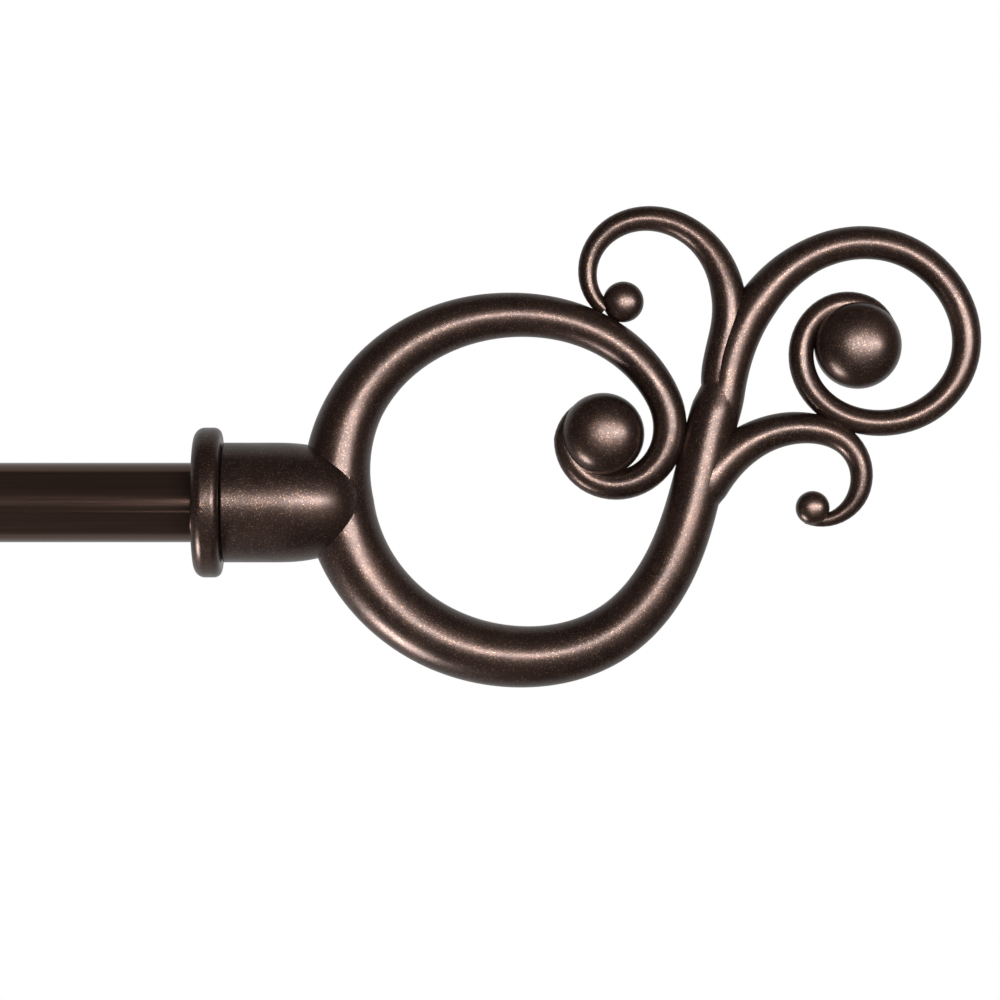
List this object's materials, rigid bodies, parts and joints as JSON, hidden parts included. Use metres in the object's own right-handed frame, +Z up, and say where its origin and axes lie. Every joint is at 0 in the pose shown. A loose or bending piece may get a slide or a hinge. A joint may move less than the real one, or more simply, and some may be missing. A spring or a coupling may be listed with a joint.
{
  "type": "curtain rod with brackets",
  "caption": "Telescoping round curtain rod on wall brackets with sliding arms and U cradles, with a screwed-on open scroll finial at each end.",
  "frame": {"origin": "middle of the right-hand wall plate's back face, the face that lies on the wall", "axes": "+X along the rod towards its right end as seen from the room, +Y into the wall, +Z up"},
  "size_m": [1.1124, 0.1574, 0.1245],
  "materials": {
    "tube_paint": "smooth satin dark brown paint on steel tube",
    "bracket_paint": "dark bronze paint with fine metallic flake",
    "screw_paint": "dark bronze plated and painted screw",
    "finial_paint": "cast resin painted dark bronze with copper flake, satin",
    "zinc_steel": "zinc plated",
    "brass_insert": "turned",
    "black_nylon": "moulded",
    "white_nylon": "moulded"
  },
  "bodies": {
    "wall_bracket_right": {"wall_plate_right": "bracket_paint", "arm_sleeve_right": "bracket_paint", "wall_screw_right_upper": "screw_paint", "wall_screw_right_lower": "screw_paint", "wall_anchor_right_upper": "white_nylon", "wall_anchor_right_lower": "white_nylon"},
    "wall_bracket_left": {"wall_plate_left": "bracket_paint", "arm_sleeve_left": "bracket_paint", "wall_screw_left_upper": "screw_paint", "wall_screw_left_lower": "screw_paint", "wall_anchor_left_upper": "white_nylon", "wall_anchor_left_lower": "white_nylon"},
    "arm_right": {"bracket_arm_right": "bracket_paint", "cradle_right": "bracket_paint", "cradle_screw_right": "zinc_steel"},
    "arm_left": {"bracket_arm_left": "bracket_paint", "cradle_left": "bracket_paint", "cradle_screw_left": "zinc_steel"},
    "rod_outer": {"outer_tube": "tube_paint", "end_plug_right": "black_nylon", "threaded_insert_right": "brass_insert"},
    "rod_inner": {"inner_tube": "tube_paint", "inner_tube_glide": "white_nylon", "end_plug_left": "black_nylon", "threaded_insert_left": "brass_insert"},
    "collar_right": {"finial_collar_right": "finial_paint"},
    "collar_left": {"finial_collar_left": "finial_paint"},
    "scroll_right": {"finial_right": "finial_paint", "finial_stud_right": "zinc_steel"},
    "scroll_left": {"finial_left": "finial_paint", "finial_stud_left": "zinc_steel"},
    "rod_lock_pad_right": {"rod_lock_right_pad": "white_nylon"},
    "rod_lock_pad_left": {"rod_lock_left_pad": "white_nylon"},
    "rod_lock_knob_right": {"rod_lock_right_screw": "bracket_paint"},
    "rod_lock_knob_left": {"rod_lock_left_screw": "bracket_paint"},
    "arm_lock_pad_right": {"arm_lock_right_pad": "white_nylon"},
    "arm_lock_pad_left": {"arm_lock_left_pad": "white_nylon"},
    "arm_lock_knob_right": {"arm_lock_right_screw": "bracket_paint"},
    "arm_lock_knob_left": {"arm_lock_left_screw": "bracket_paint"}
  },
  "joints": [
    {"name": "projection_right", "type": "slide", "parent": "wall_bracket_right", "child": "arm_right", "axis": [0, -1, 0], "range_m": [-0.011, 0.027]},
    {"name": "rod_lift", "type": "slide", "parent": "arm_right", "child": "rod_outer", "axis": [0, 0, 1], "range_m": [0, 0.03]},
    {"name": "rod_extension", "type": "slide", "parent": "rod_outer", "child": "rod_inner", "axis": [-1, 0, 0], "range_m": [0, 0.508]},
    {"name": "bracket_spacing", "type": "slide", "parent": "wall_bracket_right", "child": "wall_bracket_left", "axis": [-1, 0, 0], "range_m": [0, 0.508]},
    {"name": "projection_left", "type": "slide", "parent": "wall_bracket_left", "child": "arm_left", "axis": [0, -1, 0], "range_m": [-0.011, 0.027]},
    {"name": "finial_draw_right", "type": "slide", "parent": "rod_outer", "child": "collar_right", "axis": [1, 0, 0], "range_m": [0, 0.00751]},
    {"name": "finial_turn_right", "type": "hinge", "parent": "collar_right", "child": "scroll_right", "pos_m": [0.0975, -0.1, 0], "axis": [1, 0, 0], "range_deg": [0, 2700]},
    {"name": "finial_draw_left", "type": "slide", "parent": "rod_inner", "child": "collar_left", "axis": [-1, 0, 0], "range_m": [0, 0.00751]},
    {"name": "finial_turn_left", "type": "hinge", "parent": "collar_left", "child": "scroll_left", "pos_m": [-0.6227, -0.1, 0], "axis": [-1, 0, 0], "range_deg": [0, 2700]},
    {"name": "rod_lock_travel_right", "type": "slide", "parent": "arm_right", "child": "rod_lock_pad_right", "axis": [0, -1, 0], "range_m": [0, 0.0028]},
    {"name": "rod_lock_turn_right", "type": "hinge", "parent": "rod_lock_pad_right", "child": "rod_lock_knob_right", "pos_m": [0, -0.1, 0], "axis": [0, -1, 0], "range_deg": [0, 1441]},
    {"name": "rod_lock_travel_left", "type": "slide", "parent": "arm_left", "child": "rod_lock_pad_left", "axis": [0, -1, 0], "range_m": [0, 0.0028]},
    {"name": "rod_lock_turn_left", "type": "hinge", "parent": "rod_lock_pad_left", "child": "rod_lock_knob_left", "pos_m": [-0.5252, -0.1, 0], "axis": [0, -1, 0], "range_deg": [0, 1441]},
    {"name": "arm_lock_travel_right", "type": "slide", "parent": "wall_bracket_right", "child": "arm_lock_pad_right", "axis": [0, 0, -1], "range_m": [0, 0.0028]},
    {"name": "arm_lock_turn_right", "type": "hinge", "parent": "arm_lock_pad_right", "child": "arm_lock_knob_right", "pos_m": [0, -0.0513, 0], "axis": [0, 0, -1], "range_deg": [0, 1441]},
    {"name": "arm_lock_travel_left", "type": "slide", "parent": "wall_bracket_left", "child": "arm_lock_pad_left", "axis": [0, 0, -1], "range_m": [0, 0.0028]},
    {"name": "arm_lock_turn_left", "type": "hinge", "parent": "arm_lock_pad_left", "child": "arm_lock_knob_left", "pos_m": [-0.5252, -0.0513, 0], "axis": [0, 0, -1], "range_deg": [0, 1441]}
  ],
  "couplings": [
    {"joint": "bracket_spacing", "follows": "rod_extension", "ratio": 1},
    {"joint": "projection_left", "follows": "projection_right", "ratio": 1},
    {"joint": "finial_draw_right", "follows": "finial_turn_right", "m_per_rad": 0.00015915},
    {"joint": "finial_draw_left", "follows": "finial_turn_left", "m_per_rad": 0.00015915},
    {"joint": "rod_lock_turn_right", "follows": "rod_lock_travel_right", "rad_per_m": 8976},
    {"joint": "rod_lock_turn_left", "follows": "rod_lock_travel_left", "rad_per_m": 8976},
    {"joint": "arm_lock_turn_right", "follows": "arm_lock_travel_right", "rad_per_m": 8976},
    {"joint": "arm_lock_turn_left", "follows": "arm_lock_travel_left", "rad_per_m": 8976}
  ]
}
